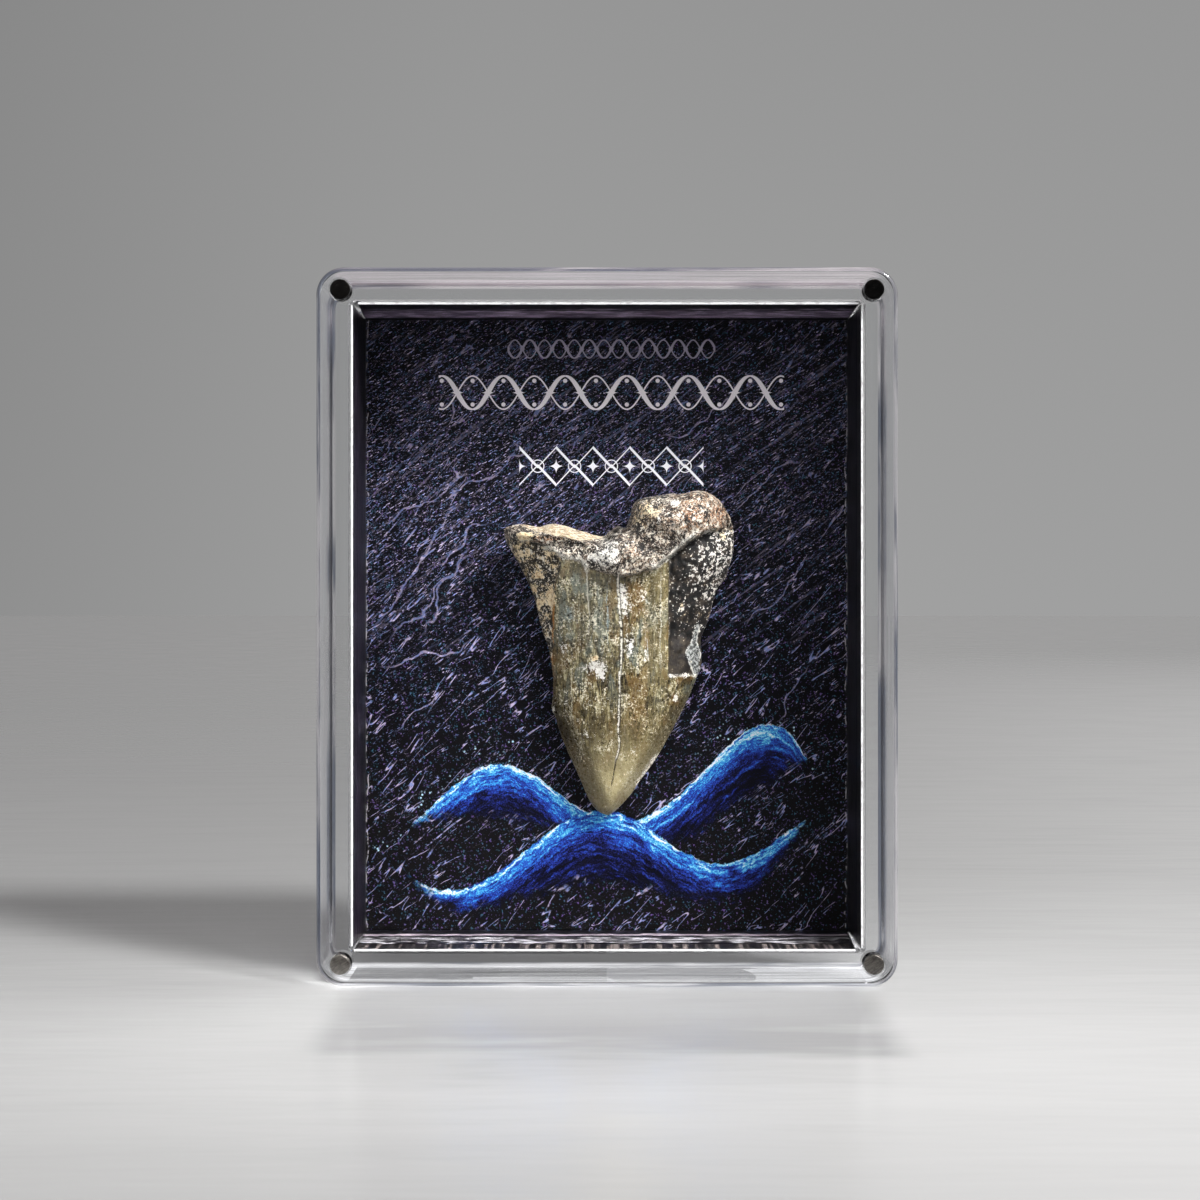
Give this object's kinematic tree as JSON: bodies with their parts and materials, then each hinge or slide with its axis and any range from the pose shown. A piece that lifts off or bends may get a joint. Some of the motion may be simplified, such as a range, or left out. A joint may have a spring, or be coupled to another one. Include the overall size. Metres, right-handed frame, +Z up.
{
  "type": "megalodon tooth in a clear display case",
  "caption": "Fossil shark tooth with a broken root, resting on a dark printed card with folded side flaps, inside a clear two-part upright display case closed by corner magnets.",
  "frame": {"origin": "centre of the case's footprint, on the surface it stands on", "axes": "+X to the right as the tooth is looked at, +Y away from the viewer through the case, +Z up"},
  "size_m": [0.115, 0.032, 0.1423],
  "materials": {
    "clear_acrylic": "polished clear cast acrylic",
    "printed_card": "satin print on stiff board, black leather grain with a blue wave at the foot",
    "fossil_tooth": "polished olive-brown enamel, rough brown root with pale crust",
    "nickel_plate": "dull nickel plate, fine brushed ends"
  },
  "bodies": {
    "root": {"case_cover": "clear_acrylic", "case_body": "clear_acrylic", "printed_card": "printed_card", "card_flap_top": "printed_card", "card_flap_bottom": "printed_card", "card_flap_left": "printed_card", "card_flap_right": "printed_card", "tooth": "fossil_tooth", "cover_magnet_top_left": "nickel_plate", "cover_magnet_top_right": "nickel_plate", "cover_magnet_bottom_left": "nickel_plate", "cover_magnet_bottom_right": "nickel_plate", "body_magnet_top_left": "nickel_plate", "body_magnet_top_right": "nickel_plate", "body_magnet_bottom_left": "nickel_plate", "body_magnet_bottom_right": "nickel_plate"}
  },
  "joints": []
}
